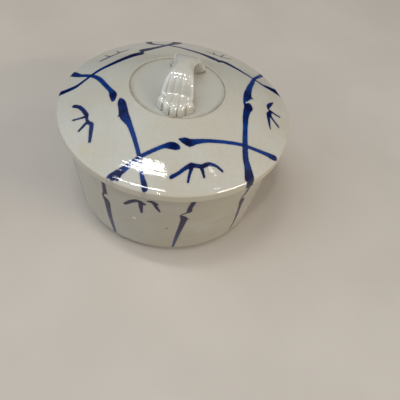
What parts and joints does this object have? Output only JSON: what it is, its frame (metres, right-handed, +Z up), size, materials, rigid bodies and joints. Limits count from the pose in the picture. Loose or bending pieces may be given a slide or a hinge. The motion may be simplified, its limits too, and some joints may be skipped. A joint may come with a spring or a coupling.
{
  "type": "lidded donburi bowl",
  "caption": "Straight-sided glazed bowl on a low foot ring, with a wide loose lid whose flange centres in the mouth and a fluted strap handle, for serving hot rice dishes.",
  "frame": {"origin": "middle of the foot ring, on the table", "axes": "+Z up along the bowl's axis, the handle arches from the front (-Y) to the back (+Y), +X to the right"},
  "size_m": [0.164, 0.164, 0.1196],
  "materials": {
    "bowl_glaze": "glossy cream-white glaze over cobalt brush painting",
    "lid_glaze": "glossy cream-white glaze over cobalt brush painting",
    "handle_glaze": "glossy cream-white glaze, thinner on the ribs and pooled between them"
  },
  "bodies": {
    "bowl": {"bowl": "bowl_glaze"},
    "lid": {"lid": "lid_glaze", "handle": "handle_glaze"}
  },
  "joints": [
    {"name": "lid_lift", "type": "slide", "parent": "bowl", "child": "lid", "axis": [0, 0, 1], "range_m": [0, 0.12]}
  ]
}
